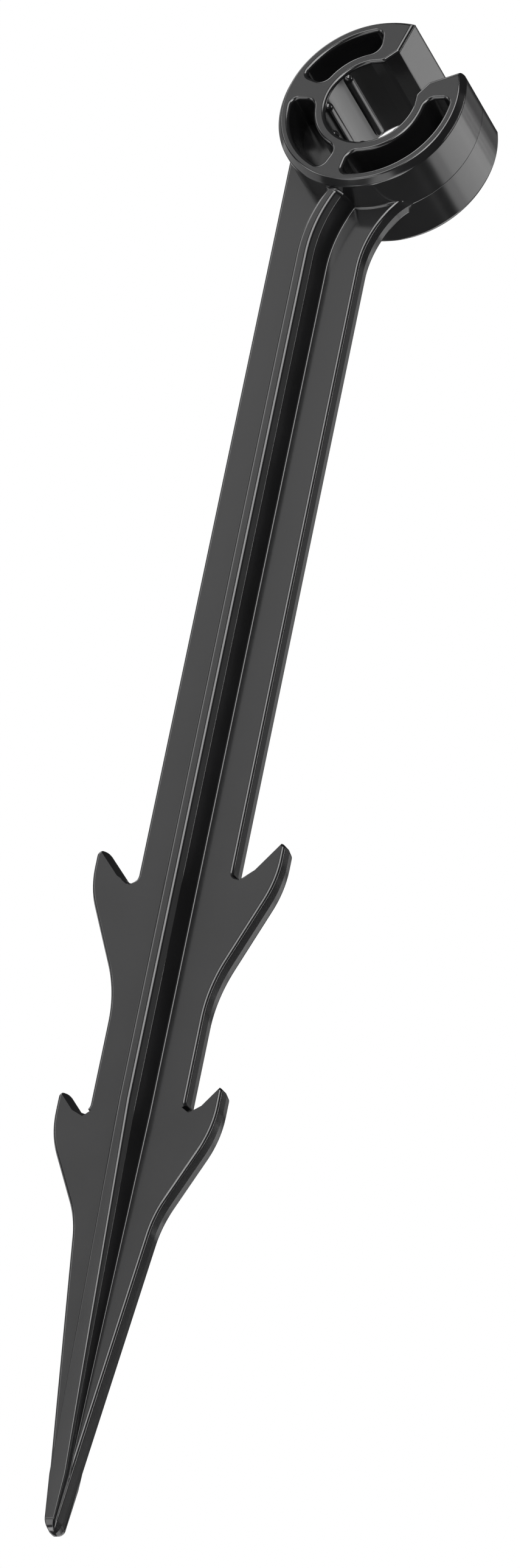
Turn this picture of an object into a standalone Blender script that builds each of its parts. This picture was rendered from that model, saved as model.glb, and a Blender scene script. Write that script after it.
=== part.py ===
"""Drip tube stake: a barbed garden stake with a C-shaped snap clip for a 16 mm drip tube.

The real stake is one moulding. It is built here as its working regions, each a solid of
its own. +Z is up, the point is down, the clip's bore runs along Y and its front looks
towards -Y. The origin lies on the blade's middle line, at the level of the soil.
Lengths are in metres and angles in degrees, seen from the front, counted from +X
towards +Z.
"""

import math

import bmesh
import bpy
from mathutils import Matrix, Vector

# Fits
GAP = 0.0003
CUTTER_EXTRA = 0.002

# Clip
BORE_DIAMETER = 0.0159
CLIP_RADIUS = 0.01565
CLIP_WIDTH = 0.0172
CLIP_HEIGHT = 0.060
CLIP_OFFSET = 0.0073
RIM_CHAMFER_DEPTH = 0.0011
RIM_CHAMFER_DROP = 0.0008
RIM_FACE_ROUNDING = 0.0003
RIM_SIDE_ROUNDING = 0.0008
BORE_EDGE_ROUNDING = 0.00035
MOUTH_EDGE_ROUNDING = 0.0005
MOUTH_TOP_ANGLE = 71.1
MOUTH_BOTTOM_ANGLE = 17.5
JAW_TIP_ROUNDING = 0.0005
THROAT_ROUNDING = 0.0018
UPPER_JAW_ROOT_ANGLE = 165.0
LOWER_JAW_ROOT_ANGLE = 292.0
HINGE_DEPTH = 0.001

# Pockets that core the clip out from both faces
POCKET_INNER_WALL = 0.0016
POCKET_OUTER_WALL = 0.0021
POCKET_WEB = 0.0030
POCKET_CORNER = 0.0009
TOP_POCKET_ANGLES = (91.5, 155.6)
LEFT_POCKET_ANGLES = (173.9, 242.8)
RIGHT_POCKET_ANGLES = (258.9, 358.1)

# Ribs in the bore that grip the tube
GRIP_RIB_HEIGHT = 0.0007
GRIP_RIB_BASE = 0.0016
GRIP_RIB_CREST = 0.0006
GRIP_RIB_SETBACK = 0.0006
GRIP_RIB_FIRST_ANGLE = 133.0
GRIP_RIB_PITCH = 45.0
GRIP_RIB_COUNT = 5

# Blade
BLADE_WIDTH = 0.015
BLADE_THICKNESS = 0.0037
NECK_BOTTOM_DROP = 0.027
NECK_RADIUS = 0.0183
TAPER_START_DROP = 0.1863
TIP_DROP = 0.2504
TIP_WIDTH = 0.0014
TIP_ROUNDING = 0.0006

# Spine ribs, front and back
SPINE_CREST_WIDTH = 0.0014
SPINE_SHOULDER_WIDTH = 0.0028
SPINE_FOOT_WIDTH = 0.0047
SPINE_HEIGHT = 0.0048
SPINE_SHOULDER_DEPTH = 0.0015
SPINE_CURVE_RADIUS = 0.025
SPINE_FALL_DROP = 0.1800
SPINE_TIP_HEIGHT = 0.0004

# Barbs: drops are measured down from the bore's centre
BARB_SLOPE = 50.0
NOTCH_ROUNDING = 0.0011
UPPER_BARB_REACH = 0.0152
UPPER_BARB_ROOT_DROP = 0.1407
UPPER_BARB_KNEE_DROP = 0.1393
UPPER_BARB_END_DROP = 0.1581
UPPER_BARB_TIP_ROUNDING = 0.00055
LOWER_BARB_REACH = 0.0130
LOWER_BARB_ROOT_DROP = 0.1810
LOWER_BARB_KNEE_DROP = 0.1828
LOWER_BARB_END_DROP = 0.1975
LOWER_BARB_TIP_ROUNDING = 0.00045
KNEE_ROUNDING = 0.021
BARB_END_ROUNDING = 0.027

# How finely arcs are cut into straight steps
ARC_STEP = 5.0
FILLET_STEPS = 5

BORE_RADIUS = BORE_DIAMETER / 2
POCKET_INNER_RADIUS = BORE_RADIUS + POCKET_INNER_WALL
POCKET_OUTER_RADIUS = CLIP_RADIUS - POCKET_OUTER_WALL
HINGE_RADIUS = CLIP_RADIUS - HINGE_DEPTH
HALF_BLADE = BLADE_WIDTH / 2
CLIP_CENTRE = Vector((CLIP_OFFSET, 0, CLIP_HEIGHT))
SPINE_SEAT = BLADE_THICKNESS / 2 + GAP
TO_FRONT = Matrix.Rotation(math.radians(90), 4, "X")


def start_collections():
    """Empties the file and makes one collection for the parts and one for the cutters."""
    for old in list(bpy.data.objects):
        bpy.data.objects.remove(old, do_unlink=True)
    parts = bpy.data.collections.new("drip_tube_stake")
    cutters = bpy.data.collections.new("cutters")
    bpy.context.scene.collection.children.link(parts)
    bpy.context.scene.collection.children.link(cutters)
    return parts, cutters


def plastic(name, shade):
    """A matt dark grey moulded plastic."""
    material = bpy.data.materials.new(name)
    material.use_nodes = True
    surface = material.node_tree.nodes["Principled BSDF"]
    surface.inputs["Base Color"].default_value = (shade, shade, shade * 1.03, 1)
    surface.inputs["Roughness"].default_value = 0.42
    surface.inputs["Metallic"].default_value = 0.0
    return material


def drop(distance):
    """The height of a point that lies this far below the bore's centre."""
    return CLIP_HEIGHT - distance


def on_circle(centre, radius, angle):
    turn = math.radians(angle)
    return (centre[0] + radius * math.cos(turn), centre[1] + radius * math.sin(turn))


def arc(centre, radius, start, end, steps=None):
    """Points along an arc, both ends included."""
    steps = steps or max(1, math.ceil(abs(end - start) / ARC_STEP))
    return [on_circle(centre, radius, start + (end - start) * i / steps) for i in range(steps + 1)]


def band_end(inner, outer, face, side, inner_round, outer_round, back):
    """The end of a ring sector, from its outer arc to its inner one.

    The sector's material lies on the given side of the face angle, and back sets the
    face in from it. Each corner has its own rounding.
    """
    out_centre_radius = outer - outer_round
    in_centre_radius = inner + inner_round
    out_angle = face + side * math.degrees(math.asin((outer_round + back) / out_centre_radius))
    in_angle = face + side * math.degrees(math.asin((inner_round + back) / in_centre_radius))
    out_centre = on_circle((0, 0), out_centre_radius, out_angle)
    in_centre = on_circle((0, 0), in_centre_radius, in_angle)
    towards_face = face - side * 90
    points = []
    if outer_round:
        points += arc(out_centre, outer_round, out_angle, towards_face, FILLET_STEPS)
    else:
        points.append(out_centre)
    if inner_round:
        last = in_angle + 180 if side < 0 else in_angle - 180
        points += arc(in_centre, inner_round, towards_face, last, FILLET_STEPS)
    else:
        points.append(in_centre)
    return points, out_angle, in_angle


def ring_sector(inner, outer, start, end, start_rounds=(0, 0), end_rounds=(0, 0), backs=(0, 0)):
    """The outline of a sector of a ring about (0, 0), with rounded or square corners."""
    first, first_out, first_in = band_end(inner, outer, start, 1, *start_rounds, backs[0])
    last, last_out, last_in = band_end(inner, outer, end, -1, *end_rounds, backs[1])
    steps = math.ceil((end - start) / ARC_STEP)
    outside = arc((0, 0), outer, first_out, last_out, steps)
    inside = arc((0, 0), inner, last_in, first_in, steps)
    return first[::-1] + outside[1:-1] + last + inside[1:-1]


def edge_inset(depth, reach, inset):
    """How far an elliptically rounded edge still lies inside its face at this depth."""
    share = min(1.0, max(0.0, depth / reach))
    return inset * (1 - math.sqrt(1 - (1 - share) ** 2))


def round_corners(corners, fixed_steps=None):
    """Replaces each corner (x, z, radius) of an outline by an arc of that radius."""
    points = []
    count = len(corners)
    for i, (x, z, radius) in enumerate(corners):
        here = Vector((x, z))
        before = Vector(corners[i - 1][:2]) - here
        after = Vector(corners[(i + 1) % count][:2]) - here
        if not radius:
            points.append((x, z))
            continue
        half_angle = before.angle(after) / 2
        to_centre = (before.normalized() + after.normalized()).normalized()
        centre = here + to_centre * (radius / math.sin(half_angle))
        start = here + before.normalized() * (radius / math.tan(half_angle)) - centre
        sweep = -start.angle_signed(here + after.normalized() * (radius / math.tan(half_angle)) - centre)
        begin = math.degrees(math.atan2(start.y, start.x))
        steps = fixed_steps or max(2, min(10, math.ceil(abs(math.degrees(sweep)) / ARC_STEP)))
        points += arc(centre, radius, begin, begin + math.degrees(sweep), steps)
    return points


def mesh_of(curve_object):
    """Turns a curve object into a mesh object with welded caps and plain flat faces."""
    bpy.context.view_layer.update()
    graph = bpy.context.evaluated_depsgraph_get()
    mesh = bpy.data.meshes.new_from_object(curve_object.evaluated_get(graph))
    shape = bmesh.new()
    shape.from_mesh(mesh)
    bmesh.ops.remove_doubles(shape, verts=shape.verts, dist=1e-6)
    bmesh.ops.dissolve_limit(shape, angle_limit=0.001, verts=shape.verts, edges=shape.edges)
    bmesh.ops.recalc_face_normals(shape, faces=shape.faces)
    shape.to_mesh(mesh)
    shape.free()
    made = bpy.data.objects.new(curve_object.name, mesh)
    made.matrix_world = curve_object.matrix_world.copy()
    bpy.data.objects.remove(curve_object, do_unlink=True)
    return made


def prism(name, outline, length, placement, collection):
    """A flat outline, filled and extruded by the length, half to each side."""
    curve = bpy.data.curves.new(name, "CURVE")
    curve.dimensions = "2D"
    curve.fill_mode = "BOTH"
    curve.extrude = length / 2
    spline = curve.splines.new("POLY")
    spline.points.add(len(outline) - 1)
    for point, (x, y) in zip(spline.points, outline):
        point.co = (x, y, 0, 1)
    spline.use_cyclic_u = True
    flat = bpy.data.objects.new(name, curve)
    collection.objects.link(flat)
    flat.matrix_world = placement
    made = mesh_of(flat)
    made.name = name
    collection.objects.link(made)
    return made


def loft(name, sections, collection):
    """A solid through closed sections that have equal numbers of points."""
    shape = bmesh.new()
    rings = [[shape.verts.new(point) for point in section] for section in sections]
    for low, high in zip(rings, rings[1:]):
        for i in range(len(low)):
            j = (i + 1) % len(low)
            shape.faces.new((low[i], low[j], high[j], high[i]))
    shape.faces.new(rings[0])
    shape.faces.new(rings[-1])
    bmesh.ops.recalc_face_normals(shape, faces=shape.faces)
    mesh = bpy.data.meshes.new(name)
    shape.to_mesh(mesh)
    shape.free()
    made = bpy.data.objects.new(name, mesh)
    collection.objects.link(made)
    return made


def add_boolean(target, other, operation):
    modifier = target.modifiers.new(other.name, "BOOLEAN")
    modifier.operation = operation
    modifier.solver = "EXACT"
    modifier.object = other


def as_cutter(helper):
    helper.hide_render = True
    helper.display_type = "WIRE"
    return helper


def finish_part(target, material):
    target.data.materials.clear()
    target.data.materials.append(material)
    target.data.shade_smooth()
    target.data.set_sharp_from_angle(angle=math.radians(30))


def at_clip():
    """Placement of a front outline that is measured from the bore's centre."""
    return Matrix.Translation(CLIP_CENTRE) @ TO_FRONT


def pocket_cutters(cutters):
    """A pair of cutters for each pocket, one from the front and one from the back."""
    depth = (CLIP_WIDTH - POCKET_WEB) / 2 + CUTTER_EXTRA
    reach = POCKET_WEB / 2 + depth / 2
    corners = (POCKET_CORNER, POCKET_CORNER)
    made = {}
    pockets = {"top": TOP_POCKET_ANGLES, "left": LEFT_POCKET_ANGLES, "right": RIGHT_POCKET_ANGLES}
    for label, (start, end) in pockets.items():
        outline = ring_sector(POCKET_INNER_RADIUS, POCKET_OUTER_RADIUS, start, end, corners, corners)
        made[label] = []
        for face, side in (("front", -1), ("back", 1)):
            placement = Matrix.Translation((0, side * reach, 0)) @ at_clip()
            cutter = prism(f"cut_{label}_pocket_{face}", outline, depth, placement, cutters)
            made[label].append(as_cutter(cutter))
    return made


def grip_rib(angle, cutters):
    """One rib along the bore, sunk far enough into the wall to join it."""
    sunk = POCKET_INNER_WALL / 2
    crest = BORE_RADIUS - GRIP_RIB_HEIGHT
    half_base = GRIP_RIB_BASE / 2
    half_crest = GRIP_RIB_CREST / 2
    outline = [
        (BORE_RADIUS + sunk, -half_base),
        (BORE_RADIUS + sunk, half_base),
        (BORE_RADIUS, half_base),
        (crest, half_crest),
        (crest, -half_crest),
        (BORE_RADIUS, -half_base),
    ]
    length = CLIP_WIDTH - 2 * GRIP_RIB_SETBACK
    placement = at_clip() @ Matrix.Rotation(math.radians(angle), 4, "Z")
    return as_cutter(prism(f"join_grip_rib_{angle:.0f}", outline, length, placement, cutters))


def rim_profile():
    """The clip's rim as pairs of depth below its face and radius, from the face inwards.

    A level is added where the bore's edge and the mouth's edge run out.
    """
    corner = CLIP_RADIUS - RIM_CHAMFER_DROP
    corners = [
        (0, corner - RIM_CHAMFER_DROP, 0),
        (0, corner, RIM_FACE_ROUNDING),
        (RIM_CHAMFER_DEPTH, CLIP_RADIUS, RIM_SIDE_ROUNDING),
        (2 * RIM_CHAMFER_DEPTH, CLIP_RADIUS, 0),
    ]
    profile = round_corners(corners, 2)[1:-1]
    for level in (BORE_EDGE_ROUNDING / 3, BORE_EDGE_ROUNDING, MOUTH_EDGE_ROUNDING):
        for low, high in zip(profile, profile[1:]):
            if low[0] < level < high[0]:
                share = (level - low[0]) / (high[0] - low[0])
                profile.append((level, low[1] + share * (high[1] - low[1])))
                break
        profile.sort()
    return profile


def clip_region(name, span, mouth_side, origin, parts):
    """One sector of the clip, lofted from face to face so that its rims are rounded.

    The span gives its end angles, and mouth_side says which end, if any, is at the mouth.
    """
    square = (0, 0)
    mouth = (THROAT_ROUNDING, JAW_TIP_ROUNDING)
    rounds = [mouth if side == mouth_side else square for side in ("start", "end")]
    profile = rim_profile()
    sections = []
    for face, levels in ((-1, profile), (1, profile[::-1])):
        for depth, outer in levels:
            inner = BORE_RADIUS + edge_inset(depth, BORE_EDGE_ROUNDING, BORE_EDGE_ROUNDING)
            at_mouth = edge_inset(depth, MOUTH_EDGE_ROUNDING, MOUTH_EDGE_ROUNDING)
            backs = [at_mouth if side == mouth_side else GAP / 2 for side in ("start", "end")]
            outline = ring_sector(inner, outer, *span, *rounds, backs)
            y = face * (CLIP_WIDTH / 2 - depth)
            sections.append([(x - origin[0], y, z - origin[1]) for x, z in outline])
    region = loft(name, sections, parts)
    region.location = CLIP_CENTRE + Vector((origin[0], 0, origin[1]))
    return region


def make_clip(parts, cutters):
    """The hub and the two sprung jaws of the clip."""
    pockets = pocket_cutters(cutters)
    upper_root = UPPER_JAW_ROOT_ANGLE
    lower_root = LOWER_JAW_ROOT_ANGLE
    lower_tip = MOUTH_BOTTOM_ANGLE + 360
    upper_hinge = on_circle((0, 0), HINGE_RADIUS, upper_root)
    lower_hinge = on_circle((0, 0), HINGE_RADIUS, lower_root)
    regions = (
        ("clip_hub", (upper_root, lower_root), None, (0, 0), ("left", "right")),
        ("clip_upper_jaw", (MOUTH_TOP_ANGLE, upper_root), "start", upper_hinge, ("top",)),
        ("clip_lower_jaw", (lower_root, lower_tip), "end", lower_hinge, ("right",)),
    )
    made = []
    for name, span, mouth_side, origin, pocket_names in regions:
        region = clip_region(name, span, mouth_side, origin, parts)
        for pocket_name in pocket_names:
            for cutter in pockets[pocket_name]:
                add_boolean(region, cutter, "DIFFERENCE")
        for i in range(GRIP_RIB_COUNT):
            angle = GRIP_RIB_FIRST_ANGLE + GRIP_RIB_PITCH * i
            if span[0] < angle < span[1]:
                add_boolean(region, grip_rib(angle, cutters), "UNION")
        made.append(region)
    return made


def spine_curve(height):
    """How far the spine's middle line has moved right at this height in the neck."""
    above = height - drop(NECK_BOTTOM_DROP)
    if above <= 0:
        return 0.0
    return SPINE_CURVE_RADIUS - math.sqrt(SPINE_CURVE_RADIUS**2 - above**2)


def spine_section(side, height, lift):
    """The spine's section at a height, where lift is how far its crest stands proud."""
    middle = spine_curve(height)
    crest = BLADE_THICKNESS / 2 + lift
    shoulder = max(crest - SPINE_SHOULDER_DEPTH, SPINE_SEAT + (crest - SPINE_SEAT) / 2)
    half_widths = (SPINE_FOOT_WIDTH / 2, SPINE_SHOULDER_WIDTH / 2, SPINE_CREST_WIDTH / 2)
    levels = (SPINE_SEAT, shoulder, crest)
    right = [(middle + width, side * level, height) for width, level in zip(half_widths, levels)]
    left = [(middle - width, side * level, height) for width, level in zip(half_widths, levels)]
    return right + left[::-1]


def clip_clearance(cutters):
    """The cylinder that keeps the neck clear of the clip's outside."""
    shape = bmesh.new()
    radius = CLIP_RADIUS + GAP
    length = CLIP_WIDTH + 2 * CUTTER_EXTRA
    bmesh.ops.create_cone(
        shape, cap_ends=True, segments=144, radius1=radius, radius2=radius, depth=length
    )
    mesh = bpy.data.meshes.new("cut_clip_clearance")
    shape.to_mesh(mesh)
    shape.free()
    cutter = bpy.data.objects.new("cut_clip_clearance", mesh)
    cutter.matrix_world = at_clip()
    cutters.objects.link(cutter)
    return as_cutter(cutter)


def make_neck(parts, cutters):
    """The widening web and the curved rib ends, cut clear of the clip."""
    clearance = clip_clearance(cutters)
    bottom = drop(NECK_BOTTOM_DROP)
    centre = (HALF_BLADE + NECK_RADIUS, bottom)
    rise = NECK_BOTTOM_DROP - CLIP_RADIUS * 0.9
    flare = arc(centre, NECK_RADIUS, 180, 180 - math.degrees(math.asin(rise / NECK_RADIUS)))
    inside = (CLIP_OFFSET, CLIP_HEIGHT)
    left_top = (-HALF_BLADE, CLIP_HEIGHT - CLIP_RADIUS * 0.2)
    outline = [(-HALF_BLADE, bottom)] + flare + [inside, left_top]
    plate = prism("neck_plate", outline, BLADE_THICKNESS, TO_FRONT, parts)
    add_boolean(plate, clearance, "DIFFERENCE")
    made = [plate]
    top = drop(CLIP_RADIUS * 0.8)
    heights = [bottom + (top - bottom) * i / 8 for i in range(9)]
    for face, side in (("front", -1), ("back", 1)):
        sections = [spine_section(side, height, SPINE_HEIGHT) for height in heights]
        rib = loft(f"neck_rib_{face}", sections, parts)
        add_boolean(rib, clearance, "DIFFERENCE")
        made.append(rib)
    return made


def half_width(height):
    """Half the blade's width at a height, along its straight taper to the point."""
    start = drop(TAPER_START_DROP)
    end = drop(TIP_DROP)
    if height >= start:
        return HALF_BLADE
    share = (start - height) / (start - end)
    return HALF_BLADE + (TIP_WIDTH / 2 - HALF_BLADE) * share


def make_blade(parts):
    """The straight blade and its tapered end."""
    top = drop(NECK_BOTTOM_DROP) - GAP
    start = drop(TAPER_START_DROP)
    end = drop(TIP_DROP)
    shank_outline = [(-HALF_BLADE, top), (-HALF_BLADE, start), (HALF_BLADE, start), (HALF_BLADE, top)]
    shank = prism("shank_plate", shank_outline, BLADE_THICKNESS, TO_FRONT, parts)
    first = start - GAP
    corners = [
        (-half_width(first), first, 0),
        (-TIP_WIDTH / 2, end, TIP_ROUNDING),
        (TIP_WIDTH / 2, end, TIP_ROUNDING),
        (half_width(first), first, 0),
    ]
    point = prism("point_plate", round_corners(corners), BLADE_THICKNESS, TO_FRONT, parts)
    return [shank, point]


def make_spines(parts):
    """The straight ribs and those that run out towards the tip, front and back."""
    top = drop(NECK_BOTTOM_DROP) - GAP
    fall = drop(SPINE_FALL_DROP)
    end = drop(TIP_DROP) + TIP_ROUNDING
    made = []
    for face, side in (("front", -1), ("back", 1)):
        straight = [spine_section(side, height, SPINE_HEIGHT) for height in (fall, top)]
        made.append(loft(f"spine_{face}", straight, parts))
        sections = []
        for share in (0, 0.25, 0.5, 0.75, 1):
            height = (fall - GAP) + (end - fall + GAP) * share
            lift = SPINE_HEIGHT + (SPINE_TIP_HEIGHT - SPINE_HEIGHT) * share
            section = spine_section(side, height, lift)
            limit = half_width(height)
            sections.append([(max(-limit, min(limit, x)), y, z) for x, y, z in section])
        made.append(loft(f"point_rib_{face}", sections, parts))
    return made


def hollow_arc(corner, before, after, radius):
    """Centre, start and end angle of an arc that fills the hollow at a corner.

    The outline comes to the corner along one unit vector and leaves along the other.
    """
    half_angle = (-before).angle(after) / 2
    to_centre = (after - before).normalized()
    centre = corner + to_centre * (radius / math.sin(half_angle))
    reach = radius / math.tan(half_angle)
    first = corner - before * reach - centre
    last = corner + after * reach - centre
    start = math.degrees(math.atan2(first.y, first.x))
    return centre, start, start - math.degrees(first.angle_signed(last))


def barb_outline(reach, root_drop, knee_drop, end_drop, tip_rounding):
    """The outline of a barb on the +X side, from its notch round its tip to its flank's end.

    It reaches in to the blade's middle line, and make_barbs cuts it clear of the blade.
    """
    slope = math.tan(math.radians(BARB_SLOPE))
    notch = Vector((HALF_BLADE, drop(root_drop)))
    tip = Vector((reach, drop(root_drop) + slope * (reach - HALF_BLADE)))
    knee = Vector((reach, drop(knee_drop)))
    foot = Vector((half_width(drop(end_drop)), drop(end_drop)))
    lower = foot.y - BARB_END_ROUNDING / 5
    below = (Vector((half_width(lower), lower)) - foot).normalized()
    up_slope = (tip - notch).normalized()
    down_flank = (foot - knee).normalized()
    centre, first, last = hollow_arc(notch, Vector((0, -1)), up_slope, NOTCH_ROUNDING)
    before = arc(centre, NOTCH_ROUNDING, first, last, 2 * FILLET_STEPS)
    centre, first, last = hollow_arc(foot, down_flank, below, BARB_END_ROUNDING)
    after = arc(centre, BARB_END_ROUNDING, first, last, 2 * FILLET_STEPS)
    corners = [(0, before[0][1], 0)]
    corners += [(x, z, 0) for x, z in before]
    corners += [(tip.x, tip.y, tip_rounding), (knee.x, knee.y, KNEE_ROUNDING)]
    corners += [(x, z, 0) for x, z in after]
    corners.append((0, after[-1][1], 0))
    return round_corners(corners)


def blade_clearance(cutters):
    """A slab that keeps the barbs clear of the blade's edges."""
    start = drop(TAPER_START_DROP)
    corners = [
        (HALF_BLADE + GAP, CLIP_HEIGHT),
        (HALF_BLADE + GAP, start),
        (TIP_WIDTH / 2 + GAP, drop(TIP_DROP)),
    ]
    outline = corners + [(-x, z) for x, z in corners[::-1]]
    thickness = BLADE_THICKNESS + 2 * CUTTER_EXTRA
    return as_cutter(prism("cut_blade_clearance", outline, thickness, TO_FRONT, cutters))


def make_barbs(parts, cutters):
    """Two pairs of barbs that point up, on the blade's edges."""
    sizes = (
        ("upper", UPPER_BARB_REACH, UPPER_BARB_ROOT_DROP, UPPER_BARB_KNEE_DROP,
         UPPER_BARB_END_DROP, UPPER_BARB_TIP_ROUNDING),
        ("lower", LOWER_BARB_REACH, LOWER_BARB_ROOT_DROP, LOWER_BARB_KNEE_DROP,
         LOWER_BARB_END_DROP, LOWER_BARB_TIP_ROUNDING),
    )
    clearance = blade_clearance(cutters)
    made = []
    for level, *size in sizes:
        outline = barb_outline(*size)
        for label, side in (("left", -1), ("right", 1)):
            sided = [(side * x, z) for x, z in outline]
            barb = prism(f"barb_{level}_{label}", sided, BLADE_THICKNESS, TO_FRONT, parts)
            add_boolean(barb, clearance, "DIFFERENCE")
            made.append(barb)
    return made


def main():
    parts, cutters = start_collections()
    made = make_clip(parts, cutters)
    made += make_neck(parts, cutters)
    made += make_blade(parts)
    made += make_spines(parts)
    made += make_barbs(parts, cutters)
    for piece in made:
        finish_part(piece, plastic(f"{piece.name}_plastic", 0.030))


main()
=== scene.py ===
"""Looks of the drip tube stake: one satin moulding, split where its jaws bend.

Shapes are modelled in millimetres, in the CAD model's frame, and scaled to metres at the
end. Angles are in degrees, seen from the front, from +X towards +Z. Outlines are lists of
(x, z), or (x, z, radius) where their corners are still to be rounded. Those of the clip
are centred on it.
"""

import math

import bmesh
import bpy
import numpy as np
from mathutils import Matrix, Vector


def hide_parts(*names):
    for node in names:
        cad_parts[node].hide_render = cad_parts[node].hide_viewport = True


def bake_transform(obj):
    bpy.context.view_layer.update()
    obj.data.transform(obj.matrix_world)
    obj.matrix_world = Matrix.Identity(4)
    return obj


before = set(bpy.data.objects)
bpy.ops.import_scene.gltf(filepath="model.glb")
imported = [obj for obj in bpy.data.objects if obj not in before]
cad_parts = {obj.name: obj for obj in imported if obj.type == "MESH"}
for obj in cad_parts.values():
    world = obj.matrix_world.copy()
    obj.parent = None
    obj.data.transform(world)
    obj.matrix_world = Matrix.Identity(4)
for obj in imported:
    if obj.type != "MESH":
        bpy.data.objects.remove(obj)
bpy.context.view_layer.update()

MM = 0.001

# Clip's ring: placed as in the CAD model, with a tighter bore and softer edges
CLIP_X = 7.3
CLIP_Z = 60.0
CLIP_XZ = (CLIP_X, CLIP_Z)
CLIP_CENTRE = Vector((CLIP_X, 0, CLIP_Z))
CLIP_R = 15.65
HALF_CLIP = 8.6
BORE_R = 7.55
EDGE_ROUND = 0.6
CHAMFER_DEPTH = 1.1
CHAMFER_DROP = 0.8
CHAMFER_ROUNDS = (0.45, 0.8)
RIM_EXTRA = 0.6
RIM_END = 0.5
RIDGE = 0.035
RIDGE_HALF = 0.09

# Clip's mouth: angles of its two faces, and the slanted throat between them and the bore
MOUTH_TOP = 71.1
MOUTH_BOTTOM = 17.5 + 360
JAW_TIP_ROUND = 0.8
JAW_TIP_SPREAD = 5.0
THROAT_R = 9.85
THROAT_RUN = 2.0
THROAT_SPREAD = 12.0
THROAT_CORNER = 0.7
THROAT_BLEND = 1.4
BORE_SPREAD = THROAT_SPREAD + 16

# Clip's pockets and the web inside them
POCKET_IN = 9.5
POCKET_OUT = CLIP_R - 2.1
POCKET_IN_ROUND = 1.7
POCKET_OUT_ROUND = 1.1
POCKETS = ((91.2, 154.4), (173.9, 242.8), (258.9, 358.1))
HALF_WEB = 1.5
WEB_IN = POCKET_IN - 0.8
WEB_OUT = POCKET_OUT + 1.0
WEB_ANGLES = (84, 366)

# Grip ribs: the crest's height and half width at a rib's ends, and what both gain from there
RIB_ANGLES = (133.0, 178.0, 223.0, 268.0, 313.0)
RIB_REACH = 8.0
RIB_STATIONS = (-1, -0.99, -0.97, -0.94, -0.9, -0.86, 0, 0.86, 0.9, 0.94, 0.97, 0.99, 1)
RIB_END_SHARE = 0.14
RIB_END_HEIGHT = 0.04
RIB_END_HALF = 0.25
RIB_HEIGHT_GAIN = 0.7
RIB_HALF_GAIN = 0.55
RIB_ROOT_R = BORE_R + 0.7
RIB_FOOT_R = BORE_R + 0.1
RIB_CREST_ANGLES = range(10, 180, 16)

# Neck: its edges, and the small fillets where it meets the clip
NECK_Z = CLIP_Z - 27.0
NECK_R = 18.3
NECK_MERGE_ANGLE = 145.0
NECK_INSIDE_R = CLIP_R - 1.5
NECK_TOP_R = CLIP_R - 1.7
NECK_TOP_ANGLES = range(212, 288, 3)
NECK_LEFT_Z = CLIP_Z - 5.6
FLARE_BITE = 0.1
JUNCTION_ROUND = 0.45
FILLET_ANGLES = (256.0, 287.0)
FILLET_STEPS = 42
FILLET_FADE = 5.0
FILLET_LEAST = 0.02
FILLET_ROOT = 0.3

# Blade: slightly wider than in the CAD model, with the draft of its side walls
HALF_BLADE = 7.82
HALF_THICK = 1.85
PLATE_EDGE = 0.55
TAPER_Z = CLIP_Z - 186.3
TIP_Z = CLIP_Z - 250.4
HALF_TIP = 0.8
TIP_CORNER = 0.3
SIDE_DRAFT = 0.15
POINT_DRAFT = 0.2

# Nose that closes the point: length, half depth, bluntness and shares of its quarter turn
NOSE = 1.6
NOSE_DEPTH = 2.2
NOSE_BLUNTNESS = 0.85
NOSE_STEPS = (0.08, 0.16, 0.25, 0.34, 0.44, 0.54, 0.64, 0.74, 0.83, 0.91, 0.96, 0.985)

# Barbs: reach, drops of root, knee and end under the clip's centre, tip and end radius
BARBS = (
    (15.5, 140.7, 139.3, 158.1, 0.95, 27.0),
    (13.35, 181.0, 182.8, 197.5, 0.8, 20.0),
)
BARB_SLOPE = 52.0
NOTCH_R = 1.1
KNEE_R = 21.0

# Bevels of the barbs: shares of the barb's edge, with how far the wedge is lifted out there
BEVEL_DROP = 0.8
BEVEL_DEPTH = 1.1
BEVEL_STATIONS = ((0.15, 1.0), (0.38, 0.0), (1.4, 0.0))

# Spine: half width of its crest, spread from there to its shoulder, wall's foot and fillet,
# and the margins that all four keep from the blade's edge, the outermost first
CREST_Y = 6.65
CREST_HALF = 0.86
CREST_WIDENING = 0.45
CREST_ROUND = 0.8
CREST_LEAST_SHARE = 0.7
SHOULDER_SPREAD = 0.66
SHOULDER_SHARE = 0.745
SHOULDER_ROUND = 0.4
FOOT_SPREAD = 1.49
FOOT_ROUND = 0.6
SPINE_FILLET_SPREAD = 2.09
LEAST_SHARE = 0.2
SPINE_MARGINS = (0.02, 0.06, 0.14, 0.22)
SPINE_ROOT_Y = 1.0
SPINE_SEAT_Y = HALF_THICK + 0.004

# Spine's run: its bend at the neck, its fall towards the point, its sections' heights, and
# how near its middle and its crest the spread at the clip's rim fades out
SPINE_BEND_R = 25.0
FALL_Z = CLIP_Z - 180.0
FALL_STEPS = 8
FALL_END_Y = HALF_THICK + 0.4
SPINE_RUNS = (
    (FALL_Z + 10, NECK_Z, 12),
    (NECK_Z + 0.9, NECK_Z + 10, 11),
    (NECK_Z + 10.2, NECK_Z + 14, 30),
)
SPREAD_MIDDLE = 0.4
SPREAD_TOP = 0.5
SEATED = 0.01
CORE_R = CLIP_R - 0.9
CORE_HALF = 12

# Seam between the two pieces, on the left of the clip, with a normal that points down
SEAM_ANGLE = 190.0
SEAM_TURN = math.radians(SEAM_ANGLE)
SEAM_NORMAL = Vector((-math.sin(SEAM_TURN), 0, math.cos(SEAM_TURN)))
SEAM_ZONE = 25
UPPER_SIDE_ANGLES = (40, 200)

# Shading: the angle from which an edge is sharp, and how near the middle plane the
# parting line's points are
SHARP_ANGLE = 32
PARTING_LIMIT = 1e-3

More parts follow.
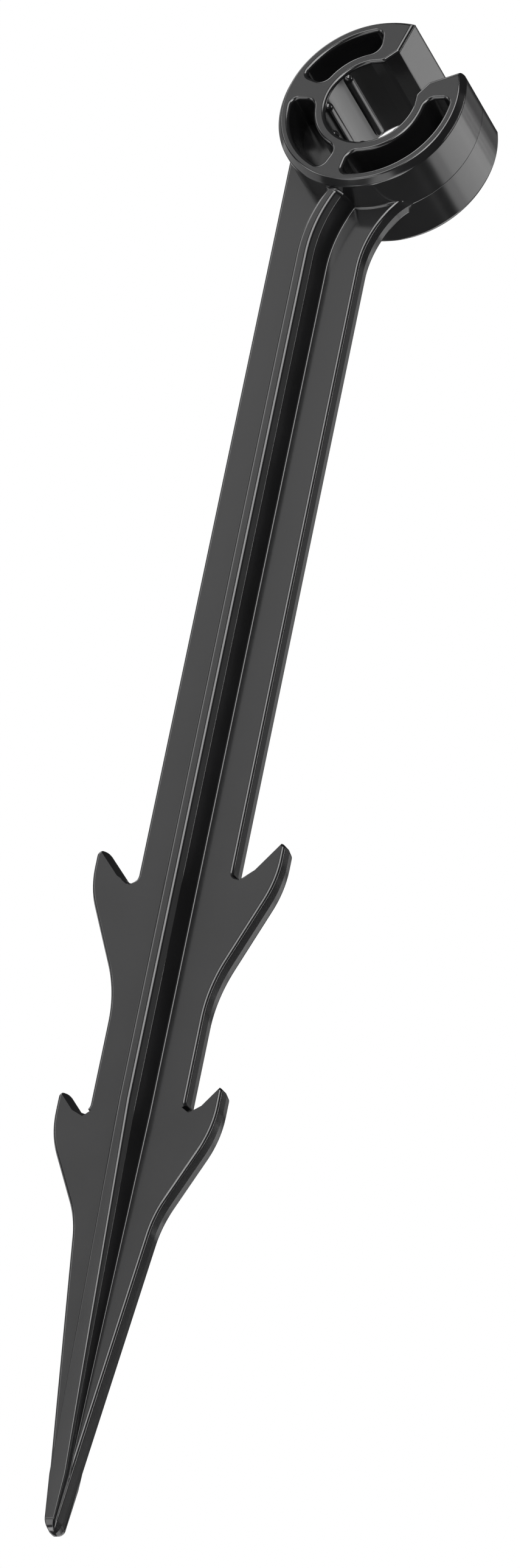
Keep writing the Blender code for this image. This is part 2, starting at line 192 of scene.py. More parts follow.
# Steps of arcs, in degrees, and the share of a side that a rounded corner may take
ARC_STEP = 2.5
CORNER_STEP = 12.0
CORNER_STEP_AT_1_MM = 40
CORNER_SHARE = 0.45

# Distances within which points are merged and cuts snap to them, and what counts as flat
MERGE_LIMIT = 1e-4
CUT_SNAP = 1e-5
SEAM_SNAP = 1e-4
FLAT_LIMIT = 0.001

# Plastic: dark anthracite, as linear colours
PLASTIC_DARK = (0.0042, 0.0042, 0.0044, 1)
PLASTIC_LIGHT = (0.0055, 0.0055, 0.0058, 1)
PLASTIC_IOR = 1.5
ROUGHNESS = (0.14, 0.18)
FLOW_SCALE = 120
FLOW_DETAIL = 3
FLOW_RANGE = (0.3, 0.7)
GRAIN_SCALE = 4500
GRAIN_DETAIL = 2
GRAIN_STRENGTH = 0.02
GRAIN_DEPTH = 0.00003

# Camera, fitted to the photo
CAMERA_AZIMUTH = 26.543
CAMERA_ELEVATION = -30.194
CAMERA_ROLL = 11.675
CAMERA_DISTANCE = 1.8194
CAMERA_TARGET = (0.00837, 0.0, -0.06085)
CAMERA_FOCUS = 19698.8
CAMERA_NEAR = 0.05
CAMERA_FAR = 50
IMAGE_HEIGHT = 2576
SENSOR = 36.0

# Surroundings: a pale floor in metres, and the world's strength as a light and to the camera
FLOOR_Z = -9.0
FLOOR_HALF = 30
FLOOR_COLOUR = (0.9, 0.9, 0.9, 1)
FLOOR_ROUGHNESS = 0.9
FLOOR_GLOW = 0.95
AMBIENT = 0.05
BACKGROUND = 1.0

# Softboxes: azimuth from +X towards +Y, elevation, width and height in degrees, radiance
LAMP_DISTANCE = 4.0
SOFTBOXES = (
    ("back_1", 52, -15, 12, 9, 2.1),
    ("back_2", 48.8, -1, 11, 19, 2.85),
    ("back_3", 50.5, 13, 11, 9, 2.75),
    ("back_4", 54, 20.5, 11, 6, 2.4),
    ("back_5", 59, 25.5, 8, 4, 2.1),
    ("back_6", 60.5, 29.5, 7, 4, 1.5),
    ("back_7", 64, 33, 10, 3, 0.7),
    ("back_8", 70, 38, 36, 7, 0.26),
    ("back_left", 51, 30.5, 10, 9, 0.28),
    ("back_right", 73, 30, 12, 7, 0.53),
    ("back_neck", 61, 2, 8, 18, 1.5),
    ("back_neck_high", 66, 19, 9, 14, 1.0),
    ("right", 3, 14, 26, 46, 0.36),
    ("right_strip", 22, 29, 6, 10, 9.0),
    ("right_strip_low", 17, 14, 6, 20, 9.0),
    ("right_strip_foot", 12, -3, 6, 14, 9.0),
    ("front_right", 294, 20, 36, 40, 7.0),
    ("front_right_low", 300, -12, 34, 24, 10.0),
    ("front", 259, 6, 24, 20, 5.0),
    ("front_face_high", 244, 33.5, 26, 7, 1.5),
    ("front_face", 244, 20.5, 26, 19, 1.1),
    ("front_fade", 242, -6, 30, 34, 1.5),
    ("front_low", 246, -42, 45, 38, 3.4),
    ("left", 219, 30, 22, 20, 3.5),
    ("left_low", 214, -10, 22.5, 20, 5.0),
    ("left_high", 205, 50, 45, 20, 4.0),
    ("left_glow", 150, 32, 80, 36, 0.3),
    ("under_right", 45, -62, 50, 24, 5.0),
    ("under", 135, -70, 90, 20, 6.0),
    ("bottom", 320, -76, 110, 26, 2.4),
    ("behind", 90, -4, 30, 34, 1.6),
    ("behind_right", 70, -16, 16, 24, 1.6),
    ("behind_left", 130, -14, 40, 26, 1.0),
    ("left_side", 175, -8, 36, 50, 1.2),
)

UPRIGHT = Matrix.Rotation(math.radians(90), 4, "X")
AT_CLIP = Matrix.Translation(CLIP_CENTRE) @ UPRIGHT


def collection(name):
    made = bpy.data.collections.new(name)
    bpy.context.scene.collection.children.link(made)
    return made


PIECES = collection("pieces")
HELPERS = collection("helpers")


def at(radius, angle, centre=(0.0, 0.0)):
    turn = math.radians(angle)
    return (centre[0] + radius * math.cos(turn), centre[1] + radius * math.sin(turn))


def arc(centre, radius, start, end, step=ARC_STEP, least=1):
    count = max(least, math.ceil(abs(end - start) / step))
    return [at(radius, start + (end - start) * i / count, centre) for i in range(count + 1)]


def rounded(corners, step=CORNER_STEP, count=None):
    """Replaces each corner of an outline by an arc of its radius, or of what fits."""
    points = []
    for i, (x, z, radius) in enumerate(corners):
        if not radius:
            points.append((x, z))
            continue
        here = Vector((x, z))
        back = Vector(corners[i - 1][:2]) - here
        ahead = Vector(corners[(i + 1) % len(corners)][:2]) - here
        half = back.angle(ahead) / 2
        room = CORNER_SHARE * min(back.length, ahead.length)
        radius = min(radius, room * math.tan(half))
        back.normalize()
        ahead.normalize()
        centre = here + (back + ahead).normalized() * (radius / math.sin(half))
        reach = radius / math.tan(half)
        first = here + back * reach - centre
        last = here + ahead * reach - centre
        start = math.degrees(math.atan2(first.y, first.x))
        sweep = -math.degrees(first.angle_signed(last))
        if count:
            points += [at(radius, start + sweep * k / count, centre) for k in range(count + 1)]
        else:
            finest = min(step, CORNER_STEP_AT_1_MM / radius)
            points += arc(centre, radius, start, start + sweep, finest, least=3)
    return points


def opened(item):
    """An editable copy of an object's mesh."""
    shape = bmesh.new()
    shape.from_mesh(item.data)
    return shape


def store(shape, item):
    shape.to_mesh(item.data)
    shape.free()


def cut_through(shape, parts, point, normal, snap=CUT_SNAP, clear=False):
    """Cuts these parts of a shape along a plane, and can clear what its normal points to."""
    return bmesh.ops.bisect_plane(
        shape, geom=parts, dist=snap, plane_co=point, plane_no=normal, clear_outer=clear
    )


def evaluated_mesh(item):
    bpy.context.view_layer.update()
    graph = bpy.context.evaluated_depsgraph_get()
    return bpy.data.meshes.new_from_object(item.evaluated_get(graph))


def apply_modifiers(item):
    mesh = evaluated_mesh(item)
    item.modifiers.clear()
    item.data = mesh


def add_mesh(name, shape, place, where=HELPERS):
    bmesh.ops.recalc_face_normals(shape, faces=shape.faces)
    mesh = bpy.data.meshes.new(name)
    shape.to_mesh(mesh)
    shape.free()
    mesh.transform(place)
    made = bpy.data.objects.new(name, mesh)
    where.objects.link(made)
    return made


def plate(name, outlines, half_depth, edge, place, segments):
    """Flat outlines, the first one solid and the others holes, with rounded edges."""
    curve = bpy.data.curves.new(name, "CURVE")
    curve.dimensions = "2D"
    curve.fill_mode = "BOTH"
    curve.extrude = half_depth - edge
    curve.bevel_depth = edge
    curve.bevel_resolution = segments - 1
    curve.offset = -edge
    for outline in outlines:
        spline = curve.splines.new("POLY")
        spline.points.add(len(outline) - 1)
        for point, (x, y) in zip(spline.points, outline):
            point.co = (x, y, 0, 1)
        spline.use_cyclic_u = True
    flat = bpy.data.objects.new(name + "_curve", curve)
    HELPERS.objects.link(flat)
    shape = bmesh.new()
    shape.from_mesh(evaluated_mesh(flat))
    bmesh.ops.remove_doubles(shape, verts=shape.verts, dist=MERGE_LIMIT)
    bmesh.ops.dissolve_limit(
        shape, angle_limit=FLAT_LIMIT, verts=shape.verts, edges=shape.edges
    )
    bpy.data.objects.remove(flat, do_unlink=True)
    return add_mesh(name, shape, place)


def join_rings(shape, low, high):
    """Quads between two rings of as many vertices."""
    for i in range(len(low)):
        j = (i + 1) % len(low)
        shape.faces.new((low[i], low[j], high[j], high[i]))


def loft(name, rings, place=Matrix.Identity(4)):
    shape = bmesh.new()
    made = [[shape.verts.new(point) for point in ring] for ring in rings]
    for low, high in zip(made, made[1:]):
        join_rings(shape, low, high)
    shape.faces.new(made[0])
    shape.faces.new(made[-1])
    return add_mesh(name, shape, place)


def turned(name, profile, place, steps=180):
    """A solid of revolution about the local Z axis through (z, radius) pairs."""
    rings = []
    for z, radius in profile:
        rings.append([(*at(radius, 360 * i / steps), z) for i in range(steps)])
    return loft(name, rings, place)


def combine(base, others, operation):
    for other in others:
        modifier = base.modifiers.new(other.name, "BOOLEAN")
        modifier.operation = operation
        modifier.solver = "EXACT"
        modifier.object = other
    apply_modifiers(base)
    for other in others:
        bpy.data.objects.remove(other, do_unlink=True)
    return base


def outer_corner(outer, face, side, radius):
    """A corner between an outer arc and a radial face, and the angle where the arc meets it."""
    centre_r = outer - radius
    angle = face + side * math.degrees(math.asin(radius / centre_r))
    return arc(at(centre_r, angle), radius, angle, face - side * 90, CORNER_STEP), angle


def pocket_end(face, side):
    """One end of a pocket, from its outer arc to its inner one, and the angles it joins at."""
    points, out_angle = outer_corner(POCKET_OUT, face, side, POCKET_OUT_ROUND)
    centre_r = POCKET_IN + POCKET_IN_ROUND
    in_angle = face + side * math.degrees(math.asin(POCKET_IN_ROUND / centre_r))
    first = face - side * 90
    last = in_angle - side * 180
    points += arc(at(centre_r, in_angle), POCKET_IN_ROUND, first, last, CORNER_STEP)
    return points, out_angle, in_angle


def pocket_outline(start, end):
    first, first_out, first_in = pocket_end(start, 1)
    last, last_out, last_in = pocket_end(end, -1)
    outside = arc((0, 0), POCKET_OUT, first_out, last_out)
    inside = arc((0, 0), POCKET_IN, last_in, first_in)
    outline = first[::-1] + outside[1:-1] + last + inside[1:-1]
    return outline[::-1]


def rim_profile():
    """The rim's section, as (z, radius): rounded chamfers and a slight ridge in the middle."""
    corners = [
        (0, CLIP_R - 2 * CHAMFER_DROP, 0),
        (0, CLIP_R - CHAMFER_DROP, CHAMFER_ROUNDS[0]),
        (CHAMFER_DEPTH, CLIP_R, CHAMFER_ROUNDS[1]),
        (2 * CHAMFER_DEPTH, CLIP_R, 0),
    ]
    side = [(depth - HALF_CLIP, radius) for depth, radius in rounded(corners, step=10)[1:-1]]
    side += [(-RIDGE_HALF, CLIP_R), (0, CLIP_R + RIDGE)]
    mirrored = [(-z, radius) for z, radius in side[-2::-1]]
    end_z = HALF_CLIP + RIM_END
    end_r = side[0][1] - RIM_END
    return [(-end_z, end_r), *side, *mirrored, (end_z, end_r)]


def mouth_end(face, side):
    """One end of the C shape from its outer tip to the bore, with a slanted throat."""
    tip, tip_angle = outer_corner(CLIP_R, face, side, JAW_TIP_ROUND)
    corners = [
        (*at(THROAT_R + THROAT_RUN, face), 0),
        (*at(THROAT_R, face), THROAT_CORNER),
        (*at(BORE_R, face + side * THROAT_SPREAD), THROAT_BLEND),
        (*at(BORE_R, face + side * BORE_SPREAD), 0),
    ]
    return tip + rounded(corners)[1:], tip_angle


def ring_outline():
    """The C shape. Past its tips it stands out a little, for the rim to cut."""
    top, top_tip = mouth_end(MOUTH_TOP, 1)
    bottom, bottom_tip = mouth_end(MOUTH_BOTTOM, -1)
    first = top_tip + JAW_TIP_SPREAD
    last = bottom_tip - JAW_TIP_SPREAD
    outside = arc((0, 0), CLIP_R + RIM_EXTRA, first, last)
    inside = arc((0, 0), BORE_R, MOUTH_BOTTOM - BORE_SPREAD, MOUTH_TOP + BORE_SPREAD)
    return top[::-1] + outside + bottom + inside[1:-1]


def grip_rib(angle):
    """A rib along the bore, rounded over its crest and at its ends."""
    rings = []
    for share in RIB_STATIONS:
        near_end = min(1.0, (1 - abs(share)) / RIB_END_SHARE)
        swell = math.sqrt(1 - (1 - near_end) ** 2)
        height = RIB_END_HEIGHT + RIB_HEIGHT_GAIN * swell
        half = RIB_END_HALF + RIB_HALF_GAIN * swell
        ring = [(RIB_ROOT_R, -half), (RIB_ROOT_R, half), (RIB_FOOT_R, half)]
        for degrees in RIB_CREST_ANGLES:
            turn = math.radians(degrees)
            ring.append((BORE_R - height * math.sin(turn), half * math.cos(turn)))
        ring.append((RIB_FOOT_R, -half))
        rings.append([(x, y, share * RIB_REACH) for x, y in ring])
    around = Matrix.Rotation(math.radians(angle), 4, "Z")
    return loft(f"rib_{angle:.0f}", rings, AT_CLIP @ around)


def make_ring():
    """The C-shaped clip with its pockets, web and grip ribs."""
    holes = [pocket_outline(start, end) for start, end in POCKETS]
    ring = plate("ring", [ring_outline(), *holes], HALF_CLIP, EDGE_ROUND, AT_CLIP, segments=4)
    combine(ring, [turned("rim", rim_profile(), AT_CLIP)], "INTERSECT")
    start, end = WEB_ANGLES
    band = arc((0, 0), WEB_OUT, start, end) + arc((0, 0), WEB_IN, end, start)
    web = plate("web", [band], HALF_WEB, 0.0, AT_CLIP, segments=1)
    return combine(ring, [web, *[grip_rib(angle) for angle in RIB_ANGLES]], "UNION")


def half_width(height):
    """Half the blade's width, which narrows evenly from the taper's start to the tip."""
    if height >= TAPER_Z:
        return HALF_BLADE
    return HALF_BLADE + (HALF_TIP - HALF_BLADE) * (TAPER_Z - height) / (TAPER_Z - TIP_Z)


def barb_corners(reach, root_drop, knee_drop, end_drop, tip_round, end_round):
    """Corners of a barb on the +X side, from its notch down to its flank's end."""
    rise = math.tan(math.radians(BARB_SLOPE)) * (reach - HALF_BLADE)
    end_z = CLIP_Z - end_drop
    return [
        (HALF_BLADE, CLIP_Z - root_drop, NOTCH_R),
        (reach, CLIP_Z - root_drop + rise, tip_round),
        (reach, CLIP_Z - knee_drop, KNEE_R),
        (half_width(end_z), end_z, end_round),
    ]


def neck_flare():
    """The neck's right edge, from inside the clip's wall down to the blade."""
    centre = Vector((HALF_BLADE + NECK_R, NECK_Z))
    turn = math.radians(NECK_MERGE_ANGLE)
    inward = Vector((-math.cos(turn), -math.sin(turn)))
    joint = centre - inward * NECK_R - Vector(CLIP_XZ)
    reach = CLIP_R - FLARE_BITE
    radius = (joint.length_squared - reach**2) / (2 * reach - 2 * joint.dot(inward))
    merge_centre = joint + inward * radius
    touch = math.degrees(math.atan2(-merge_centre.y, -merge_centre.x))
    merge = arc(merge_centre + Vector(CLIP_XZ), radius, touch, NECK_MERGE_ANGLE, step=4)
    inner = merge_centre.normalized() * NECK_INSIDE_R + Vector(CLIP_XZ)
    return [tuple(inner), *merge, *arc(centre, NECK_R, NECK_MERGE_ANGLE, 180)[1:]]


def blade_outline():
    """The blade's edge: from inside the clip down its right side and up its left."""
    top = [at(NECK_TOP_R, angle, CLIP_XZ) for angle in NECK_TOP_ANGLES]
    neck = [(x, z, 0) for x, z in top + neck_flare()]
    right = []
    for barb in BARBS:
        right += barb_corners(*barb)
    right.append((HALF_TIP, TIP_Z, TIP_CORNER))
    left = [(-x, z, radius) for x, z, radius in right[::-1]]
    return rounded([*neck, *right, *left, (-HALF_BLADE, NECK_LEFT_Z, 0)])[::-1]


def add_draft(blade):
    """Lifts the middle of the side walls, where the two halves of the mould met."""
    shape = opened(blade)
    parts = [*shape.verts, *shape.edges, *shape.faces]
    cut = cut_through(shape, parts, (0, 0, 0), (0, 1, 0))
    shape.normal_update()
    for item in cut["geom_cut"]:
        if isinstance(item, bmesh.types.BMVert):
            sideways = Vector((item.normal.x, 0, item.normal.z))
            down = (TAPER_Z - item.co.z) / (TAPER_Z - TIP_Z)
            draft = SIDE_DRAFT + (POINT_DRAFT - SIDE_DRAFT) * max(0.0, min(1.0, down))
            item.co += sideways.normalized() * draft
    store(shape, blade)


def barb_bevel(barb, side, face):
    """A wedge that slopes a barb's upper edge towards one face."""
    reach, root_drop = barb[:2]
    slope = math.radians(BARB_SLOPE)
    along = Vector((math.cos(slope), 0, math.sin(slope)))
    below = Vector((math.sin(slope), 0, -math.cos(slope)))
    notch = Vector((HALF_BLADE, 0, CLIP_Z - root_drop))
    length = (reach - HALF_BLADE) / math.cos(slope)
    wedge = (
        (2 * BEVEL_DROP, -BEVEL_DEPTH),
        (-BEVEL_DROP, 2 * BEVEL_DEPTH),
        (-BEVEL_DROP, -BEVEL_DEPTH),
    )
    rings = []
    for share, lift in BEVEL_STATIONS:
        ring = []
        for low, deep in wedge:
            point = notch + along * (length * share) + below * (low - lift * BEVEL_DROP)
            ring.append((side * point.x, face * (HALF_THICK - deep), point.z))
        rings.append(ring)
    return loft("bevel", rings)


def make_blade():
    """The plate of the blade, its barbs and the neck that runs up into the clip."""
    blade = plate("blade", [blade_outline()], HALF_THICK, PLATE_EDGE, UPRIGHT, segments=5)
    add_draft(blade)
    bevels = []
    for barb in BARBS:
        for side in (-1, 1):
            bevels += [barb_bevel(barb, side, face) for face in (-1, 1)]
    return combine(blade, bevels, "DIFFERENCE")


def face_fillet(face):
    """The fillet between a face of the neck's plate and the clip's rim."""
    first, last = FILLET_ANGLES
    rings = []
    for i in range(FILLET_STEPS + 1):
        angle = first + (last - first) * i / FILLET_STEPS
        fade = min(1.0, (angle - first) / FILLET_FADE, (last - angle) / FILLET_FADE)
        radius = max(FILLET_LEAST, JUNCTION_ROUND * math.sqrt(fade))
        centre = (CLIP_R + radius, HALF_THICK + radius)
        section = [
            (CLIP_R - FILLET_ROOT, HALF_THICK - FILLET_ROOT),
            (CLIP_R + radius, HALF_THICK - FILLET_ROOT),
            *arc(centre, radius, 270, 180, step=18),
            (CLIP_R - FILLET_ROOT, HALF_THICK + radius),
        ]
        ring = []
        for out, deep in section:
            x, z = at(out, angle, CLIP_XZ)
            ring.append((x, face * deep, z))
        rings.append(ring)
    return loft("fillet", rings)


def spine_middle(height):
    """How far the spine's middle has bent away from the blade's at a height."""
    above = height - NECK_Z
    return SPINE_BEND_R - math.sqrt(SPINE_BEND_R**2 - above**2) if above > 0 else 0.0


def spread_at_rim(x, y, z):
    """Moves a spine's point outwards where the spine runs up into the clip's rim."""
    gap = max(0.0, math.hypot(x - CLIP_X, z - CLIP_Z) - CLIP_R)
    lift = abs(y) - HALF_THICK
    if gap >= JUNCTION_ROUND or z < NECK_Z or lift <= SEATED:
        return (x, y, z)
    spread = JUNCTION_ROUND - math.sqrt(JUNCTION_ROUND**2 - (JUNCTION_ROUND - gap) ** 2)
    away = x - spine_middle(z)
    sideways = spread * min(1.0, abs(away) / SPREAD_MIDDLE)
    outwards = spread * max(0.0, (abs(y) - CREST_Y + SPREAD_TOP) / SPREAD_TOP)
    return (x + math.copysign(sideways, away), y + math.copysign(outwards, y), z)


def spine_ring(side, height, crest):
    """The spine's section: fillet at the foot, sloping wall, shoulder and crest."""
    lift = crest - HALF_THICK
    full_share = lift / (CREST_Y - HALF_THICK)
    share = max(LEAST_SHARE, full_share)
    wide = CREST_HALF + CREST_WIDENING * (1 - full_share)
    spreads = (SPINE_FILLET_SPREAD, FOOT_SPREAD, SHOULDER_SPREAD, 0)
    limits = [half_width(height) - margin for margin in SPINE_MARGINS]
    fillet, foot, shoulder, top = [
        min(wide + spread * share, limit) for spread, limit in zip(spreads, limits)
    ]
    corners = [
        (fillet, SPINE_ROOT_Y, 0),
        (fillet, SPINE_SEAT_Y, 0),
        (foot, SPINE_SEAT_Y, FOOT_ROUND * share),
        (shoulder, HALF_THICK + lift * SHOULDER_SHARE, SHOULDER_ROUND * share),
        (top, crest, CREST_ROUND * max(CREST_LEAST_SHARE, share)),
    ]
    mirrored = [(-x, y, r) for x, y, r in corners[::-1]]
    middle = spine_middle(height)
    outline = rounded(corners + mirrored, count=4)
    return [spread_at_rim(middle + x, side * y, height) for x, y in outline]


def make_spine(side):
    """The spine on one face of the blade, from the point up into the clip's rim."""
    rings = []
    for i in range(FALL_STEPS + 1):
        height = TIP_Z + (FALL_Z - TIP_Z) * i / FALL_STEPS
        crest = CREST_Y + (FALL_END_Y - CREST_Y) * (1 - i / FALL_STEPS)
        rings.append(spine_ring(side, height, crest))
    for first, last, count in SPINE_RUNS:
        for height in np.linspace(first, last, count):
            rings.append(spine_ring(side, float(height), CREST_Y))
    core = turned("core", [(-CORE_HALF, CORE_R), (CORE_HALF, CORE_R)], AT_CLIP, steps=120)
    return combine(loft(f"spine_{side}", rings), [core], "DIFFERENCE")


def open_loops(faces):
    """Loops of the edges that only one of the faces uses, turned to close them."""
    used = {pair for face in faces for pair in zip(face, face[1:] + face[:1])}
    ahead = {b: a for a, b in used if (b, a) not in used}
    loops = []
    while ahead:
        start, following = ahead.popitem()
        loop = [start]
        while following != start:
            loop.append(following)
            following = ahead.pop(following)
        loops.append(loop)
    return loops


def round_the_tip(moulding):
    """Cuts the point a little short and closes it with a smooth nose on the cut's own outline."""
    shape = opened(moulding)
    level = TIP_Z + NOSE
    parts = [*shape.verts, *shape.edges, *shape.faces]
    cut_through(shape, parts, (0, 0, level), (0, 0, -1), clear=True)
    shape.verts.index_update()
    shape.verts.ensure_lookup_table()
    rim = open_loops([[vert.index for vert in face.verts] for face in shape.faces])[0]
    ring = [shape.verts[i] for i in rim]
    outline = [vert.co.copy() for vert in ring]
    for share in NOSE_STEPS:
        turn = math.radians(90 * share)
        size = math.cos(turn) ** NOSE_BLUNTNESS
        height = level - NOSE * math.sin(turn)
        lower = []
        for point in outline:
            angle = math.atan2(point.y / NOSE_DEPTH, point.x / HALF_TIP)
            even = Vector((HALF_TIP * math.cos(angle), NOSE_DEPTH * math.sin(angle)))
            flat = point.to_2d().lerp(even, share) * size
            lower.append(shape.verts.new((flat.x, flat.y, height)))
        join_rings(shape, ring, lower)
        ring = lower
    shape.faces.new(ring)
    bmesh.ops.recalc_face_normals(shape, faces=shape.faces)
    store(shape, moulding)


def split_at_seam(moulding):
    """Cuts an edge loop through the clip's left side, where the two pieces meet."""
    shape = opened(moulding)
    near = []
    for face in shape.faces:
        if (face.calc_center_median() - CLIP_CENTRE).length < SEAM_ZONE:
            near.append(face)
    edges = {edge for face in near for edge in face.edges}
    verts = {vert for face in near for vert in face.verts}
    parts = [*near, *edges, *verts]
    cut_through(shape, parts, CLIP_CENTRE, SEAM_NORMAL, snap=SEAM_SNAP)
    store(shape, moulding)


def on_upper_side(point):
    offset = point - CLIP_CENTRE
    angle = math.degrees(math.atan2(offset.z, offset.x)) % 360
    first, last = UPPER_SIDE_ANGLES
    return first < angle < last and offset.dot(SEAM_NORMAL) < 0


def mark_parting_line(mesh):
    """Keeps the crest between the two halves of a side wall crisp."""
    middle = {v.index for v in mesh.vertices if abs(v.co.y) < PARTING_LIMIT}
    sharp = mesh.attributes["sharp_edge"].data
    for edge in mesh.edges:
        if edge.vertices[0] in middle and edge.vertices[1] in middle:
            sharp[edge.index].value = True


def smooth(moulding):
    """Smooth shading that keeps the flat faces flat and the sharp edges sharp."""
    moulding.data.shade_smooth()
    moulding.data.set_sharp_from_angle(angle=math.radians(SHARP_ANGLE))
    mark_parting_line(moulding.data)
    weighted = moulding.modifiers.new("even", "WEIGHTED_NORMAL")
    weighted.keep_sharp = True
    apply_modifiers(moulding)


def part_mesh(source, keep, name, material):
    """A piece of the moulding made of the faces to keep, with their shading, closed at its cut."""
    mesh = source.data
    normals = np.empty(len(mesh.loops) * 3, np.float32)
    mesh.corner_normals.foreach_get("vector", normals)
    normals = normals.reshape(-1, 3)
    used = {}
    faces = []
    kept = []
    for polygon in mesh.polygons:
        if not keep(polygon.center):
            continue
        faces.append([used.setdefault(v, len(used)) for v in polygon.vertices])
        kept += [normals[i] for i in polygon.loop_indices]
    points = [mesh.vertices[v].co * MM for v in used]
    for loop in open_loops(faces):
        corners = [points[v] for v in loop]
        across = sum((a.cross(b) for a, b in zip(corners, corners[1:] + corners[:1])), Vector())
        faces.append(loop)
        kept += [across.normalized()] * len(loop)
    made = bpy.data.meshes.new(name)
    made.from_pydata(points, [], faces)
    made.shade_smooth()
    made.normals_split_custom_set([tuple(n) for n in kept])
    made.materials.append(material)
    piece = bpy.data.objects.new(name, made)
    PIECES.objects.link(piece)
    return piece


def plastic():
    """Dark anthracite moulded plastic: satin, with fine grain and faint flow marks."""
    material = bpy.data.materials.new("stake_plastic")
    material.use_nodes = True
    nodes = material.node_tree.nodes
    links = material.node_tree.links
    surface = nodes["Principled BSDF"]
    surface.inputs["IOR"].default_value = PLASTIC_IOR
    place = nodes.new("ShaderNodeTexCoord")
    fine = nodes.new("ShaderNodeTexNoise")
    fine.inputs["Scale"].default_value = GRAIN_SCALE
    fine.inputs["Detail"].default_value = GRAIN_DETAIL
    broad = nodes.new("ShaderNodeTexNoise")
    broad.inputs["Scale"].default_value = FLOW_SCALE
    broad.inputs["Detail"].default_value = FLOW_DETAIL
    for noise in (fine, broad):
        links.new(place.outputs["Object"], noise.inputs["Vector"])
    tone = nodes.new("ShaderNodeValToRGB")
    dark, light = tone.color_ramp.elements
    dark.position = FLOW_RANGE[0]
    dark.color = PLASTIC_DARK
    light.position = FLOW_RANGE[1]
    light.color = PLASTIC_LIGHT
    links.new(broad.outputs["Fac"], tone.inputs["Fac"])
    links.new(tone.outputs["Color"], surface.inputs["Base Color"])
    gloss = nodes.new("ShaderNodeMapRange")
    gloss.inputs["To Min"].default_value = ROUGHNESS[0]
    gloss.inputs["To Max"].default_value = ROUGHNESS[1]
    links.new(broad.outputs["Fac"], gloss.inputs["Value"])
    links.new(gloss.outputs["Result"], surface.inputs["Roughness"])
    bump = nodes.new("ShaderNodeBump")
    bump.inputs["Strength"].default_value = GRAIN_STRENGTH
    bump.inputs["Distance"].default_value = GRAIN_DEPTH
    links.new(fine.outputs["Fac"], bump.inputs["Height"])
    links.new(bump.outputs["Normal"], surface.inputs["Normal"])
    return material


def make_pieces():
    """The whole moulding, then its two pieces."""
    blade = make_blade()
    spines = [make_spine(-1), make_spine(1)]
    fillets = [face_fillet(-1), face_fillet(1)]
    moulding = combine(make_ring(), [blade, *spines, *fillets], "UNION")
    round_the_tip(moulding)
    split_at_seam(moulding)
    smooth(moulding)
    material = plastic()
    upper = part_mesh(moulding, on_upper_side, "clip_upper_side", material)
    lower = part_mesh(
        moulding,
        lambda point: not on_upper_side(point),
        "stake_and_clip_lower_side",
        material,
    )
    bpy.data.objects.remove(moulding, do_unlink=True)
    return upper, lower


def make_camera():
    azimuth = math.radians(CAMERA_AZIMUTH)
    elevation = math.radians(CAMERA_ELEVATION)
    roll = math.radians(CAMERA_ROLL)
    away = Vector((
        math.sin(azimuth) * math.cos(elevation),
        -math.cos(azimuth) * math.cos(elevation),
        math.sin(elevation),
    ))
    right = (-away).cross(Vector((0, 0, 1))).normalized()
    up = right.cross(-away)
    turned_right = right * math.cos(roll) + up * math.sin(roll)
    turned_up = up * math.cos(roll) - right * math.sin(roll)
    data = bpy.data.cameras.new("camera")
    data.sensor_fit = "VERTICAL"
    data.sensor_height = SENSOR
    data.lens = CAMERA_FOCUS / IMAGE_HEIGHT * SENSOR
    data.clip_start = CAMERA_NEAR
    data.clip_end = CAMERA_FAR
    camera = bpy.data.objects.new("camera", data)
    bpy.context.scene.collection.objects.link(camera)
    pose = Matrix((turned_right, turned_up, away)).transposed().to_4x4()
    pose.translation = Vector(CAMERA_TARGET) + away * CAMERA_DISTANCE
    camera.matrix_world = pose
    bpy.context.scene.camera = camera


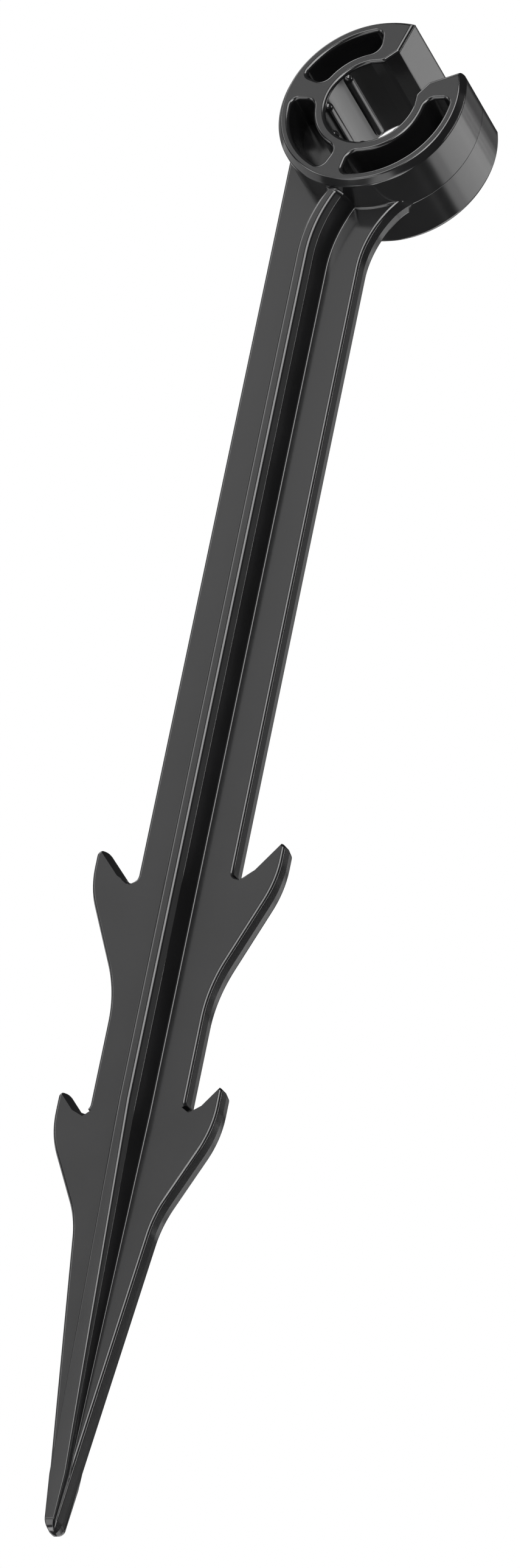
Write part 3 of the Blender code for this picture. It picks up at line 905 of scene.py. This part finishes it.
def make_stage():
    """A pale floor far below the stake, which shines only where it is looked at."""
    material = bpy.data.materials.new("pale_stage")
    material.use_nodes = True
    nodes = material.node_tree.nodes
    links = material.node_tree.links
    surface = nodes["Principled BSDF"]
    surface.inputs["Base Color"].default_value = FLOOR_COLOUR
    surface.inputs["Roughness"].default_value = FLOOR_ROUGHNESS
    glow = nodes.new("ShaderNodeEmission")
    glow.inputs["Strength"].default_value = FLOOR_GLOW
    path = nodes.new("ShaderNodeLightPath")
    mix = nodes.new("ShaderNodeMixShader")
    links.new(path.outputs["Is Camera Ray"], mix.inputs["Fac"])
    links.new(surface.outputs["BSDF"], mix.inputs[1])
    links.new(glow.outputs["Emission"], mix.inputs[2])
    links.new(mix.outputs["Shader"], nodes["Material Output"].inputs["Surface"])
    shape = bmesh.new()
    bmesh.ops.create_grid(shape, x_segments=1, y_segments=1, size=FLOOR_HALF)
    floor = add_mesh("floor", shape, Matrix.Translation((0, 0, FLOOR_Z)), PIECES)
    floor.data.materials.append(material)


def make_world():
    """White behind the stake as the camera sees it, and dim as a light."""
    world = bpy.data.worlds.new("studio")
    world.use_nodes = True
    nodes = world.node_tree.nodes
    links = world.node_tree.links
    background = nodes["Background"]
    background.inputs["Color"].default_value = (1, 1, 1, 1)
    path = nodes.new("ShaderNodeLightPath")
    level = nodes.new("ShaderNodeMapRange")
    level.inputs["To Min"].default_value = AMBIENT
    level.inputs["To Max"].default_value = BACKGROUND
    links.new(path.outputs["Is Camera Ray"], level.inputs["Value"])
    links.new(level.outputs["Result"], background.inputs["Strength"])
    bpy.context.scene.world = world


def softbox(name, azimuth, elevation, width, height, radiance):
    """A rectangular lamp seen from the origin at these angles, with angles for its size."""
    data = bpy.data.lights.new(name, "AREA")
    data.shape = "RECTANGLE"
    level = math.cos(math.radians(elevation))
    data.size = 2 * LAMP_DISTANCE * math.tan(math.radians(width / 2)) * level
    data.size_y = 2 * LAMP_DISTANCE * math.tan(math.radians(height / 2))
    data.energy = data.size * data.size_y * math.pi * radiance
    lamp = bpy.data.objects.new(name, data)
    bpy.context.scene.collection.objects.link(lamp)
    x, y = at(level, azimuth)
    towards = Vector((x, y, math.sin(math.radians(elevation))))
    lamp.location = towards * LAMP_DISTANCE
    lamp.rotation_euler = towards.to_track_quat("Z", "Y").to_euler()
    lamp.visible_camera = False


upper_piece, lower_piece = make_pieces()
upper_nodes = ("clip_upper_jaw",)
lower_nodes = [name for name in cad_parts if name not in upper_nodes]
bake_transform(upper_piece)
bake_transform(lower_piece)
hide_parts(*upper_nodes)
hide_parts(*lower_nodes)

make_camera()
make_stage()
make_world()
for box in SOFTBOXES:
    softbox(*box)
bpy.context.scene.view_settings.view_transform = "Standard"
